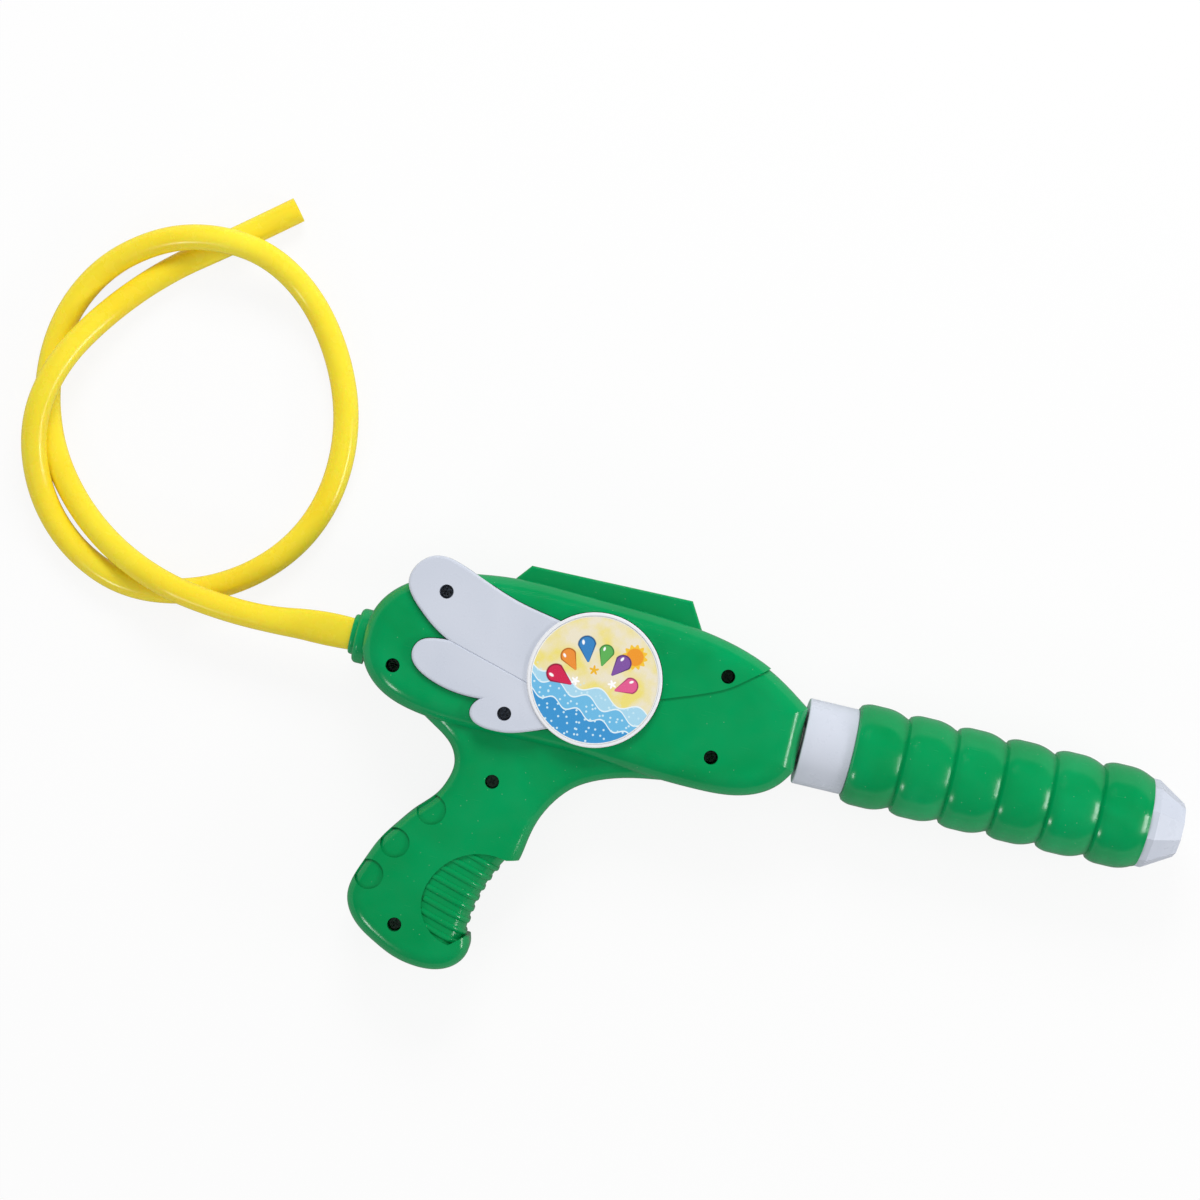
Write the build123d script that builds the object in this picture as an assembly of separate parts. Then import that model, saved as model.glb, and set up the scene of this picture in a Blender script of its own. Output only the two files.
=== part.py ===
"""Pump-action water squirter with its supply hose, lying on its left side, in millimetres.

Everything is drawn in the barrel's own frame: x runs along the barrel towards the nozzle from the body's
front end, y points to the top rail and z points out of the right side. The last lines move it all to the
floor, under the middle of the squirter.
"""
from build123d import *
import math
import os

# Body shells
BODY_HALF = 21.65          # from the parting plane to the side face, so the body lies level with the handle
FACE_STEP = 0.8            # the lower side face lies this much under the raised upper panel
EDGE_RADIUS = 9.0          # rounding all round the side faces
WALL = 2.4
GRIP_HALF = 15.0
GRIP_RADIUS = 7.0
GRIP_HOLLOW = 11.0         # depth of the hollow in each half of the grip
RAIL_HALF = 6.0
RAIL_RADIUS = 1.2
MUZZLE_GAP = 0.8           # between the body's front face and the pump collar
DENT_DEPTH = 1.0
DENT_FOOT = 7.0            # the dents end this high over the parting plane
RECESS_HALF = 13.6         # side face of the ribbed crescent, from the parting plane
RECESS_RADIUS = 9.5
RIB_RADIUS = 1.4
RIB_HEIGHT = 0.8
RIB_COUNT = 8
RIB_PITCH = 5.2
RIB_SLOPE = -16.1          # degrees, from the rear of the grip to its front
PLATE = 2.0                # thickness of the ribs inside the shells

# Wing panel and badge
WING_TOP = 23.2
WING_SEAT = 19.8           # floor of the shell's pocket under the wing
WING_SKIRT = 10.0          # how far down the wing's lip reaches outside the body
WING_EDGE = 1.2
WING_GAP = 0.3             # round the wing in its pocket
FIT = 0.1                  # under flat parts and round fixed ones
BADGE_RADIUS = 28.0
BADGE_RISE = 1.0
BADGE_RIM = 1.35
LABEL_DEPTH = 0.7
LABEL_THICKNESS = 0.3

# Screws
SCREW_RECESS = 2.95
SCREW_HEAD = 2.6
HEAD_HEIGHT = 1.9
SHANK_RADIUS = 1.45
SHANK_LENGTH = 13.0
BODY_SEAT = 8.0            # height of the screw heads' seats over the parting plane
GRIP_SEAT = 6.0
WING_SCREW_SEAT = 11.0
BOSS_WALL = 1.25
NECK_RADIUS = 2.6
POST_WALL = 1.3

# Pump
ROD_RADIUS = 6.0
ROD_BORE = 4.0
ROD_END = 134.0
RUNNING_GAP = 0.05
FLANGE_RADIUS = 9.5
FLANGE_BACK = -149.8
FLANGE_LENGTH = 3.6
BARREL_OUTER = 17.0
BARREL_BORE = 15.2
BARREL_FRONT = 149.0
STROKE = 110.0
COLLAR_RADIUS = 18.25
COLLAR_LENGTH = 21.2
COLLAR_BACK = 3.0
COLLAR_BOSS = 10.5
SEAL_BACK = 5.0
SEAL_FRONT = 8.2
SEAL_RADIUS = 9.0
RETAINER_FRONT = 10.0
GASKET = 1.0
SLEEVE_LENGTH = 126.5
RING_COUNT = 6
CREST_RADIUS = 21.65
VALLEY_RADIUS = 19.0
NOZZLE_FACETS = 10
NOZZLE_RADIUS = 18.85
NOZZLE_BAND = 3.2
NOZZLE_TIP = 11.45
NOZZLE_LENGTH = 15.3
TIP_WALL = 1.7
JET_RADIUS = 1.3
PISTON_BACK = 126.0
PISTON_FRONT = 138.0
PISTON_RADIUS = 14.7
GROOVE_BACK = 130.5
GROOVE_FRONT = 133.9
GROOVE_RADIUS = 12.6
BALL_RADIUS = 4.0
INLET_HOLE = 3.0
INLET_LIFT = 1.0
OUTLET_HOLE = 2.5
OUTLET_LIFT = 1.5
SEAT_THICKNESS = 2.5
CAGE_RADIUS = 4.6
CAGE_WALL = 1.3
CAGE_FRONT = 147.2

# Hose and gland
HOSE_RADIUS = 5.4
HOSE_BORE = 3.75
HOSE_START = -170.0
BARB_LENGTH = 12.0
BARB_BORE = 2.4
GLAND_END = -193.8
GLAND_STEP = 2.2
GLAND_SMALL = 8.5
GLAND_LARGE = 11.6
GLAND_NECK = 8.0
GLAND_FLANGE = 10.2
GLAND_RING_FRONT = -186.6
GLAND_FLANGE_BACK = -184.0
GLAND_RIB = -181.0
PILOT_GAP = 0.02

# The hose's route: along the barrel axis out of the gland, down to the floor and round a loose overhand loop
ROUTE = [
    (-170.0, 0.0, 21.65), (-206.0, 0.0, 21.65), (-231.0, -2.7, 19.4), (-253.5, -1.9, 18.6),
    (-276.5, 1.5, 18.2), (-300.5, 10.8, 11.0), (-321.5, 26.0, 5.4), (-337.5, 47.0, 5.4),
    (-346.3, 73.5, 5.4), (-345.5, 101.5, 5.4), (-334.0, 126.0, 6.5), (-313.5, 142.2, 12.5),
    (-291.5, 149.0, 18.4), (-266.5, 148.0, 17.4), (-245.0, 135.5, 8.0), (-227.5, 113.0, 5.4),
    (-217.0, 86.5, 5.4), (-216.0, 58.0, 5.4), (-224.5, 33.0, 5.4), (-242.0, 13.2, 5.4),
    (-266.0, 0.0, 5.4), (-294.5, -3.3, 5.4), (-320.0, 7.6, 5.4), (-338.5, 28.0, 7.0),
    (-346.3, 55.0, 16.0), (-341.5, 82.0, 18.2), (-327.5, 108.0, 8.5), (-307.0, 131.5, 5.4),
    (-282.5, 149.8, 5.4), (-258.5, 169.5, 5.4),
]

# Places on the body, seen from the right side
BODY_SCREWS = [(-172.9, -8.4), (-36.7, 19.2), (-35.9, -15.0)]
GRIP_SCREWS = [(-121.8, -46.1), (-147.6, -113.2)]
WING_SCREWS = [(-158.1, 26.5), (-123.3, -17.1)]
BADGE_CENTRE = (-90.1, 5.1)
DENTS = [(-143.7, -63.3), (-155.3, -80.1), (-162.9, -95.3)]
DENT_RADIUS = 6.2
RECESS_CENTRE = (-53.4, -111.0)     # of the arc that the crescent's front edge follows
RECESS_ARC = 65.1
RIB_START = (-129.7, -76.2)
FAR = 60.0                 # reach of the cutting blocks, past every edge of the body


def disc(centre, radius, low, high):
    """A round post or cutter standing on the side plane."""
    return Pos(centre[0], centre[1], low) * Cylinder(
        radius, high - low, align=(Align.CENTER, Align.CENTER, Align.MIN)
    )


def turned(points):
    """A solid of revolution about the barrel axis, from (x, radius) points."""
    return revolve(make_face(Polyline(*points, close=True)), Axis.X)


def ring(back, front, inner, outer):
    return turned([(back, inner), (front, inner), (front, outer), (back, outer)])


def upper_half(solid):
    block = Box(2000, 2000, 200, align=(Align.CENTER, Align.CENTER, Align.MIN))
    return solid & block


def rim(solid, height):
    """The edges round the top of a block."""
    return solid.edges().filter_by_position(Axis.Z, height - 0.01, height + 0.01)


def moved_outline(points, grow, side):
    """A smooth curve through the points, all moved by grow to one side of it."""
    curve = Spline(*points)
    if not grow:
        return curve
    moved = []
    for point in points:
        along = curve.tangent_at(curve.param_at_point(point))
        moved.append(Vector(*point) + Vector(along.Y, -along.X) * (side * grow))
    return Spline(*moved)


def closed(curve, *inner_points):
    return make_face([curve] + list(Polyline(curve @ 1, *inner_points, curve @ 0).edges()))


def body_plan(grow):
    """Side view of the body without its grip, run on past the muzzle to a plain cut end."""
    points = [
        (12.0, 5.5), (-0.9, 13.9), (-18.2, 24.9), (-35.0, 31.3), (-60.0, 35.5), (-100.0, 37.3), (-132.0, 37.6),
        (-148.0, 35.6), (-165.0, 31.3), (-176.0, 25.5), (-184.6, 15.8), (-187.9, 3.0), (-185.4, -9.9),
        (-176.5, -19.5), (-160.0, -25.3), (-130.0, -27.0), (-90.0, -27.0), (-60.0, -28.9), (-38.0, -29.6),
        (-19.0, -27.6), (-6.5, -20.9), (-0.5, -12.5), (3.0, -4.0),
    ]
    return closed(moved_outline(points, grow, 1))


def nose_block(height, grow):
    """Everything behind the muzzle face and its rounded front edge."""
    radius = EDGE_RADIUS + grow
    end = -MUZZLE_GAP + grow
    side = Polyline((end - radius, height), (end - radius, height + FAR), (-400, height + FAR), (-400, -FAR),
                    (end, -FAR), (end, height - radius))
    corner = RadiusArc((end, height - radius), (end - radius, height), -radius)
    face = make_face(Plane.XZ * (side + corner))
    return extrude(face, 2 * FAR, both=True)


def body_half(grow, height):
    """One half of the body, its outline grown by grow, up to height over the parting plane."""
    block = extrude(body_plan(grow), height)
    block = fillet(rim(block, height), EDGE_RADIUS + min(grow, 0))
    return block & nose_block(height, grow)


def grip_plan(grow):
    """Side view of the grip with its web, run up into the body."""
    points = [
        (-36.0, -26.0), (-50.0, -28.9), (-66.0, -31.6), (-80.0, -36.2), (-88.5, -41.4), (-95.0, -48.9),
        (-99.4, -57.5), (-101.6, -66.0), (-103.4, -76.0), (-109.0, -88.0), (-114.6, -100.0), (-116.9, -108.5),
        (-115.3, -114.6), (-116.4, -120.6), (-121.5, -126.0), (-130.2, -128.7), (-138.0, -128.5),
        (-145.8, -126.7), (-154.5, -122.7),
        (-161.4, -118.6), (-167.4, -112.4), (-169.9, -106.0), (-169.5, -99.5), (-166.1, -89.7), (-162.4, -81.0),
        (-156.9, -72.8), (-150.5, -64.6), (-144.0, -57.6), (-140.2, -50.0), (-139.0, -43.0), (-141.5, -36.4),
        (-148.0, -30.8), (-160.0, -22.7),
    ]
    return closed(moved_outline(points, grow, -1), (-160.0, -12.0), (-36.0, -12.0))


def grip_half(grow, height, radius):
    block = extrude(grip_plan(grow), height)
    outside = [edge for edge in rim(block, height) if edge.geom_type == GeomType.BSPLINE]
    return fillet(outside, radius)


def recess_half(grow):
    """The lower face of the ribbed crescent: a flat side that rounds down to the grip's front edge."""
    x, y = RECESS_CENTRE
    reach = RECESS_ARC - grow
    top, bottom = math.radians(130), math.radians(200)
    high = (x + reach * math.cos(top), y + reach * math.sin(top))
    low = (x + reach * math.cos(bottom), y + reach * math.sin(bottom))
    front = ThreePointArc(high, (x - reach, y), low)
    rest = Polyline(low, (-190, low[1]), (-190, high[1]), high)
    block = extrude(make_face(front + rest), RECESS_HALF + grow)
    edge = rim(block, RECESS_HALF + grow)
    return fillet(edge.filter_by(GeomType.CIRCLE), RECESS_RADIUS + min(grow, 0))


def recess_plan():
    """The crescent on the grip, open to its front edge."""
    ledge = Line((-95.0, -74.0), (-108.5, -76.8))
    crown = ThreePointArc((-108.5, -76.8), (-130.6, -81.8), (-138.8, -96.0))
    heel = TangentArc((-138.8, -96.0), (-124.0, -116.5), tangent=crown % 1)
    rest = Polyline((-124.0, -116.5), (-118.0, -111.6), (-106.0, -110.0), (-90.0, -100.0), (-95.0, -74.0))
    return make_face([ledge, crown, heel] + list(rest.edges()))


def recess_rib(number):
    """One rounded rib that follows the recess's side face and bends down over its front edge."""
    slope = math.radians(RIB_SLOPE)
    along = Vector(math.cos(slope), math.sin(slope), 0)
    x, y = RIB_START[0], RIB_START[1] - number * RIB_PITCH
    # Where the rib's line meets the arc of the recess's front edge
    dx, dy = x - RECESS_CENTRE[0], y - RECESS_CENTRE[1]
    half = dx * along.X + dy * along.Y
    reach = -half - math.sqrt(half * half - dx * dx - dy * dy + RECESS_ARC ** 2)
    sink = RIB_RADIUS - RIB_HEIGHT
    bend = RECESS_RADIUS - sink
    start = Vector(x, y, RECESS_HALF - sink) - along * 9
    edge = Vector(x, y, 0) + along * (reach - sink)
    knee = edge - along * bend + Vector(0, 0, RECESS_HALF - sink)
    foot = edge + Vector(0, 0, RECESS_HALF - sink - bend)
    middle = edge - along * bend + Vector(0, 0, foot.Z) + (along + Vector(0, 0, 1)) * (bend / math.sqrt(2))
    path = Wire([Edge.make_line(start, knee), Edge.make_three_point_arc(knee, middle, foot),
                 Edge.make_line(foot, edge - Vector(0, 0, 3))])
    section = Plane(origin=start, z_dir=along) * Circle(RIB_RADIUS)
    return sweep(section, path)


def rail_plan():
    return make_face(Polyline((-131.8, 32.0), (-131.8, 38.6), (-126.5, 45.2), (-57.7, 46.3), (-51.2, 35.4),
                              (-51.2, 32.0), close=True))


def rail_half(grow, height):
    plan = offset(rail_plan(), grow, kind=Kind.INTERSECTION) if grow else rail_plan()
    block = extrude(plan, height)
    top = rim(block, height)
    return block if grow else fillet([edge for edge in top if edge.center().Y > 33], RAIL_RADIUS)


def panel_block():
    """The region of the raised upper panel, whose front edge shows from the badge to the top edge."""
    step = Spline((-50.0, 8.0), (-44.8, 10.1), (-34.4, 15.2), (-28.0, 20.1), (-20.4, 26.0))
    rest = Polyline((-20.4, 26.0), (-12.0, 34.0), (-12.0, 60.0), (-155.0, 60.0), (-148.0, 20.0), (-62.0, 3.6),
                    (-50.0, 8.0))
    return extrude(make_face([step] + list(rest.edges())), 2 * BODY_HALF)


def half_outside(face_height, grow=0.0):
    """The outside of one half of the housing, standing on the parting plane."""
    main = body_half(grow, face_height + grow)
    raised = body_half(FACE_STEP + grow, BODY_HALF + grow) & panel_block()
    return main + raised


def grip_outside():
    crescent = extrude(recess_plan(), 2 * GRIP_HALF) - recess_half(0.0)
    inner = grip_half(-DENT_DEPTH, GRIP_HALF - DENT_DEPTH, GRIP_RADIUS - DENT_DEPTH)
    grip = grip_half(0.0, GRIP_HALF, GRIP_RADIUS) - crescent
    for centre in DENTS:
        grip -= disc(centre, DENT_RADIUS, DENT_FOOT, 2 * GRIP_HALF) - inner
    for number in range(RIB_COUNT):
        grip += recess_rib(number)
    return upper_half(grip)


def half_cavity(face_height):
    """The hollow of one half, open at the parting plane."""
    body = body_half(-WALL, face_height - WALL)
    grip = grip_half(-WALL, GRIP_HOLLOW, GRIP_RADIUS - WALL)
    grip -= disc(RECESS_CENTRE, RECESS_ARC + RECESS_RADIUS, -1, FAR)
    rail = rail_half(-WALL, RAIL_HALF - WALL)
    return body + grip + rail


def plate(back, notch, face_height):
    """A moulded rib across the body that cradles a round part on the barrel axis."""
    wall = Pos(back, -FAR, 0) * Box(PLATE, 2 * FAR, 2 * FAR, align=(Align.MIN, Align.MIN, Align.MIN))
    inside = body_half(-WALL / 2, face_height - WALL / 2)
    return (wall & inside) - ring(back - 1, back + PLATE + 1, 0, notch)


def plates(face_height):
    rod = ROD_RADIUS + FIT
    walls = plate(GLAND_RIB, GLAND_NECK + FIT, face_height)
    walls += plate(FLANGE_BACK - FIT - PLATE, rod, face_height)
    walls += plate(FLANGE_BACK + FLANGE_LENGTH + FIT, rod, face_height)
    walls += plate(-24.0, rod, face_height)
    return walls


def axis_cuts():
    """The openings for the rod in the muzzle and for the gland in the rear wall."""
    muzzle = ring(-14.0, 4.0, 0, ROD_RADIUS + FIT)
    rear = ring(-200.0, GLAND_FLANGE_BACK + 1, 0, GLAND_NECK + FIT)
    lodge = ring(GLAND_FLANGE_BACK - FIT, GLAND_RIB, 0, GLAND_FLANGE + FIT)
    return muzzle + rear + lodge


def left_boss(centre, depth):
    """A pilot boss on the left half's floor, drawn standing up, for one screw."""
    return disc(centre, NECK_RADIUS, 0, depth) - disc(centre, SHANK_RADIUS + PILOT_GAP, -1, SHANK_LENGTH - 3)


def make_right_shell():
    face = BODY_HALF - FACE_STEP
    outside = half_outside(face)
    shell = outside + grip_outside() + rail_half(0.0, RAIL_HALF)
    shell -= half_cavity(face)
    shell += plates(face)
    for lobe in wing_lobes(WING_GAP):
        shell -= extrude(Pos(0, 0, WING_SEAT) * lobe, FAR)
    shell -= disc(BADGE_CENTRE, BADGE_RADIUS + WING_GAP, WING_SEAT, FAR)
    shell -= axis_cuts()
    for centre in BODY_SCREWS:
        shell += disc(centre, NECK_RADIUS, 0, BODY_SEAT)
        shell += disc(centre, SCREW_RECESS + BOSS_WALL, BODY_SEAT - 2, face - WALL)
        shell -= disc(centre, SCREW_RECESS, BODY_SEAT, FAR)
        shell -= disc(centre, SHANK_RADIUS + FIT, -1, FAR)
    for centre in GRIP_SCREWS:
        shell += disc(centre, NECK_RADIUS, 0, GRIP_SEAT)
        shell += disc(centre, SCREW_RECESS + BOSS_WALL, GRIP_SEAT - 2, RECESS_HALF - WALL)
        shell -= disc(centre, SCREW_RECESS, GRIP_SEAT, FAR)
        shell -= disc(centre, SHANK_RADIUS + FIT, -1, FAR)
    for centre in WING_SCREWS:
        sleeve = SCREW_RECESS + POST_WALL + FIT
        floor = WING_SCREW_SEAT - PLATE - FIT
        shell += disc(centre, NECK_RADIUS, 0, floor)
        shell += disc(centre, sleeve + BOSS_WALL, floor - PLATE, face - WALL) & outside
        shell -= disc(centre, sleeve, floor, FAR)
        shell -= disc(centre, SHANK_RADIUS + FIT, -1, FAR)
    return shell


def make_left_shell():
    shell = half_outside(BODY_HALF) + grip_outside() + rail_half(0.0, RAIL_HALF)
    shell -= half_cavity(BODY_HALF)
    shell += plates(BODY_HALF)
    shell -= axis_cuts()
    for centre in BODY_SCREWS + WING_SCREWS:
        shell += left_boss(centre, BODY_HALF - WALL)
    for centre in GRIP_SCREWS:
        shell += left_boss(centre, RECESS_HALF - WALL)
    return mirror(shell, about=Plane.XY)


def wing_lobes(grow):
    """Side views of the three lobes, each run on under its neighbours and under the badge."""
    upper = [
        (-98.0, 22.5), (-107.8, 25.2), (-127.1, 29.1), (-147.4, 36.2), (-156.2, 39.4), (-161.9, 40.5),
        (-167.2, 39.5), (-171.5, 36.2), (-174.0, 31.7), (-174.4, 27.0), (-172.2, 22.3), (-167.4, 17.2),
        (-160.3, 11.4), (-153.0, 7.2), (-145.0, 4.0),
    ]
    middle = [
        (-146.0, 7.2), (-153.0, 7.2), (-159.2, 6.5), (-163.9, 4.6), (-166.2, 0.9), (-165.9, -3.3),
        (-162.8, -7.1), (-157.4, -10.1), (-149.7, -12.5), (-142.0, -13.5), (-134.6, -13.4), (-126.0, -12.0),
    ]
    lower = [
        (-131.0, -9.0), (-134.6, -13.4), (-137.0, -16.6), (-137.4, -20.0), (-135.4, -22.9), (-131.3, -24.6),
        (-125.6, -25.0), (-119.5, -24.4), (-113.2, -22.5), (-105.1, -19.3), (-98.0, -16.1), (-92.0, -13.0),
    ]
    return [closed(moved_outline(points, grow, 1), (-92.0, 0.0)) for points in (upper, middle, lower)]


def make_wing_panel():
    wing = Part()
    for lobe in wing_lobes(0.0):
        block = extrude(Pos(0, 0, WING_SKIRT) * lobe, WING_TOP - WING_SKIRT)
        wing += fillet(rim(block, WING_TOP).filter_by(GeomType.BSPLINE), WING_EDGE)
    badge_top = WING_TOP + BADGE_RISE
    badge = disc(BADGE_CENTRE, BADGE_RADIUS, WING_SKIRT, badge_top)
    badge = fillet(rim(badge, badge_top), 0.5)
    wing += badge
    wing -= disc(BADGE_CENTRE, BADGE_RADIUS - BADGE_RIM, badge_top - LABEL_DEPTH, FAR)
    # Seated on the body with an even gap, and sunk into its pocket
    under = Pos(0, 0, WING_SEAT + FIT - FAR) * Box(2000, 2000, FAR, align=(Align.CENTER, Align.CENTER, Align.MIN))
    wing -= half_outside(BODY_HALF - FACE_STEP, FIT) & under
    # Feather line between the two upper lobes
    start, end = Vector(-153.5, 7.4), Vector(-116.0, -2.9)
    line = end - start
    middle = Plane(origin=(start + end) / 2 + Vector(0, 0, WING_TOP), x_dir=line, z_dir=(0, 0, 1))
    wing -= middle * Rot(45, 0, 0) * Box(line.length, 0.6, 0.6)
    for centre in WING_SCREWS:
        wing += disc(centre, SCREW_RECESS + POST_WALL, WING_SCREW_SEAT - PLATE, WING_SEAT + 1)
        wing -= disc(centre, SCREW_RECESS, WING_SCREW_SEAT, FAR)
        wing -= disc(centre, SHANK_RADIUS + FIT, 0, FAR)
    return wing


def make_badge_label():
    floor = WING_TOP + BADGE_RISE - LABEL_DEPTH
    return disc(BADGE_CENTRE, BADGE_RADIUS - BADGE_RIM - FIT, floor, floor + LABEL_THICKNESS)


def screw(centre, seat):
    """A pan-head self-tapping screw with a cross recess."""
    body = disc(centre, SHANK_RADIUS, seat - SHANK_LENGTH, seat)
    head = disc(centre, SCREW_HEAD, seat, seat + HEAD_HEIGHT)
    head = fillet(rim(head, seat + HEAD_HEIGHT), 0.8)
    cross = Box(3.2, 0.7, 2.2) + Box(0.7, 3.2, 2.2)
    return body + head - Pos(centre[0], centre[1], seat + HEAD_HEIGHT) * cross


def make_case_screws():
    return Compound([screw(c, BODY_SEAT) for c in BODY_SCREWS] + [screw(c, GRIP_SEAT) for c in GRIP_SCREWS])


def make_wing_screws():
    return Compound([screw(c, WING_SCREW_SEAT) for c in WING_SCREWS])


def make_hose_gland():
    """Stepped ring in the rear wall, held by its flange between the wall and the first rib."""
    step = GLAND_END + GLAND_STEP
    bore = HOSE_RADIUS + FIT
    flange_front = GLAND_RIB - FIT
    small = ring(GLAND_END, step + 1, bore, GLAND_SMALL)
    small = fillet(small.edges().filter_by_position(Axis.X, GLAND_END - 0.01, GLAND_END + 0.01).sort_by(
        SortBy.RADIUS)[-1], 1.2)
    large = ring(step, GLAND_RING_FRONT, bore, GLAND_LARGE)
    large = fillet(large.edges().filter_by_position(Axis.X, step - 0.01, step + 0.01).sort_by(
        SortBy.RADIUS)[-1], 2.0)
    neck = ring(step, GLAND_RIB + PLATE, bore, GLAND_NECK)
    flange = ring(GLAND_FLANGE_BACK, flange_front, bore, GLAND_FLANGE)
    seat = half_outside(BODY_HALF - FACE_STEP, FIT) + mirror(half_outside(BODY_HALF, FIT), about=Plane.XY)
    large -= seat
    return small + large + neck + flange


def hose_path():
    points = [Vector(x, y, z - BODY_HALF) for x, y, z in ROUTE]
    radii = []
    for before, point, after in zip(points, points[1:], points[2:]):
        turn = math.radians((point - before).get_angle(after - point))
        shorter = min((point - before).length, (after - point).length)
        radii.append(0.45 * shorter / math.tan(turn / 2))
    print("hose radii", " ".join(f"{radius:.0f}" for radius in radii))
    return FilletPolyline(*points, radius=radii)


def make_supply_hose():
    path = hose_path()
    plane = Plane(origin=path @ 0, z_dir=path % 0)
    hose = sweep(plane * Circle(HOSE_RADIUS), path) - sweep(plane * Circle(HOSE_BORE), path)
    section = math.pi * (HOSE_RADIUS ** 2 - HOSE_BORE ** 2)
    print(f"hose length {path.length:.1f}, volume {hose.volume:.0f} against {section * path.length:.0f}")
    return hose


def make_piston_rod():
    barb = HOSE_START - BARB_LENGTH
    rod = turned([(barb, BARB_BORE), (HOSE_START, BARB_BORE), (HOSE_START + 4, ROD_BORE), (ROD_END, ROD_BORE),
                  (ROD_END, ROD_RADIUS), (HOSE_START, ROD_RADIUS), (HOSE_START, HOSE_BORE), (barb, HOSE_BORE)])
    return rod + ring(FLANGE_BACK, FLANGE_BACK + FLANGE_LENGTH, ROD_BORE + 1, FLANGE_RADIUS)


def make_piston_head():
    socket = ROD_RADIUS + PILOT_GAP
    return turned([
        (PISTON_BACK, socket), (ROD_END, socket), (ROD_END, INLET_HOLE), (PISTON_FRONT, INLET_HOLE),
        (PISTON_FRONT, PISTON_RADIUS), (GROOVE_FRONT, PISTON_RADIUS), (GROOVE_FRONT, GROOVE_RADIUS),
        (GROOVE_BACK, GROOVE_RADIUS), (GROOVE_BACK, PISTON_RADIUS), (PISTON_BACK, PISTON_RADIUS),
    ])


def make_piston_seal():
    inner, outer = GROOVE_RADIUS + PILOT_GAP, BARREL_BORE - RUNNING_GAP
    back, front = GROOVE_BACK + FIT, GROOVE_FRONT - FIT
    middle = (back + front) / 2
    return turned([(back, inner), (front, inner), (front, outer - 0.6), (front - 0.6, outer), (middle + 0.4, outer),
                   (middle, outer - 0.5), (middle - 0.4, outer), (back + 0.6, outer), (back, outer - 0.6)])


def seated_ball(face, hole):
    """Centre of a ball on a sharp-edged hole in the plane x = face."""
    return face + math.sqrt(BALL_RADIUS ** 2 - hole ** 2)


def make_inlet_ball():
    return Pos(seated_ball(PISTON_FRONT, INLET_HOLE), 0, 0) * Sphere(BALL_RADIUS)


def ball_stop(face, hole, lift, end):
    """Crossed bars that stop a ball after its lift and let the water past."""
    stop = seated_ball(face, hole) + BALL_RADIUS + lift + FIT
    bars = Pos(stop, 0, 0) * (Box(40, PLATE, 40) + Box(40, 40, PLATE))
    return ring(stop, end, 0, CAGE_RADIUS + 0.2) & bars


def make_inlet_cage():
    """Cap on the piston with four windows round the ball."""
    cage = ring(PISTON_FRONT, CAGE_FRONT, CAGE_RADIUS, CAGE_RADIUS + CAGE_WALL)
    cage += ring(PISTON_FRONT, PISTON_FRONT + 1.5, CAGE_RADIUS, 9.0)
    cage += ball_stop(PISTON_FRONT, INLET_HOLE, INLET_LIFT, CAGE_FRONT)
    window = Pos(PISTON_FRONT + 4.5, 0, 0) * (Box(4.0, 2.6, 20) + Box(4.0, 20, 2.6))
    return cage - window


def make_barrel_tube():
    return ring(COLLAR_BACK + GASKET, BARREL_FRONT, BARREL_BORE, BARREL_OUTER)


def make_barrel_gasket():
    return ring(COLLAR_BACK, COLLAR_BACK + GASKET, COLLAR_BOSS + FIT, BARREL_OUTER)


def make_rear_collar():
    """Turned-over cap on the barrel's rear end, with the rod's guide and the seal's chamber."""
    guide = ROD_RADIUS + RUNNING_GAP
    bore = BARREL_OUTER + PILOT_GAP
    collar = turned([
        (0, guide), (SEAL_BACK, guide), (SEAL_BACK, SEAL_RADIUS), (RETAINER_FRONT, SEAL_RADIUS),
        (RETAINER_FRONT, COLLAR_BOSS), (COLLAR_BACK, COLLAR_BOSS), (COLLAR_BACK, bore),
        (COLLAR_LENGTH, bore), (COLLAR_LENGTH, COLLAR_RADIUS), (0, COLLAR_RADIUS),
    ])
    ends = collar.edges().filter_by(GeomType.CIRCLE).filter_by(
        lambda edge: abs(edge.radius - COLLAR_RADIUS) < 0.01)
    return fillet(ends, 0.6)


def make_rod_seal():
    return ring(SEAL_BACK + FIT, SEAL_FRONT - FIT, ROD_RADIUS + RUNNING_GAP, SEAL_RADIUS - RUNNING_GAP)


def make_seal_retainer():
    return ring(SEAL_FRONT, RETAINER_FRONT, ROD_RADIUS + 0.3, SEAL_RADIUS)


def make_grip_sleeve():
    """Sleeve with a row of rings, each rising in a short step and falling in a long curve to the next."""
    pitch = SLEEVE_LENGTH / RING_COUNT
    bore = BARREL_OUTER + PILOT_GAP
    edges = []
    for number in range(RING_COUNT):
        start = COLLAR_LENGTH + number * pitch
        shoulder = (start + 0.8, CREST_RADIUS - 1.3)
        crest = (start + 5.6, CREST_RADIUS)
        flat = (start + 11.2, CREST_RADIUS)
        fall = (start + pitch - 1.3, VALLEY_RADIUS + 0.5)
        edges.append(Line((start, VALLEY_RADIUS), shoulder))
        edges.append(TangentArc(crest, shoulder, tangent=(-1, 0)))
        edges.append(Line(crest, flat))
        edges.append(TangentArc(flat, fall, tangent=(1, 0)))
        edges.append(Line(fall, (start + pitch, VALLEY_RADIUS)))
    end = COLLAR_LENGTH + SLEEVE_LENGTH
    inside = Polyline((end, VALLEY_RADIUS), (end, bore), (COLLAR_LENGTH, bore), (COLLAR_LENGTH, VALLEY_RADIUS))
    return revolve(make_face(edges + list(inside.edges())), Axis.X)


def facet_plane(x):
    return Plane(origin=(x, 0, 0), z_dir=(1, 0, 0), x_dir=(0, 0, 1))


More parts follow.
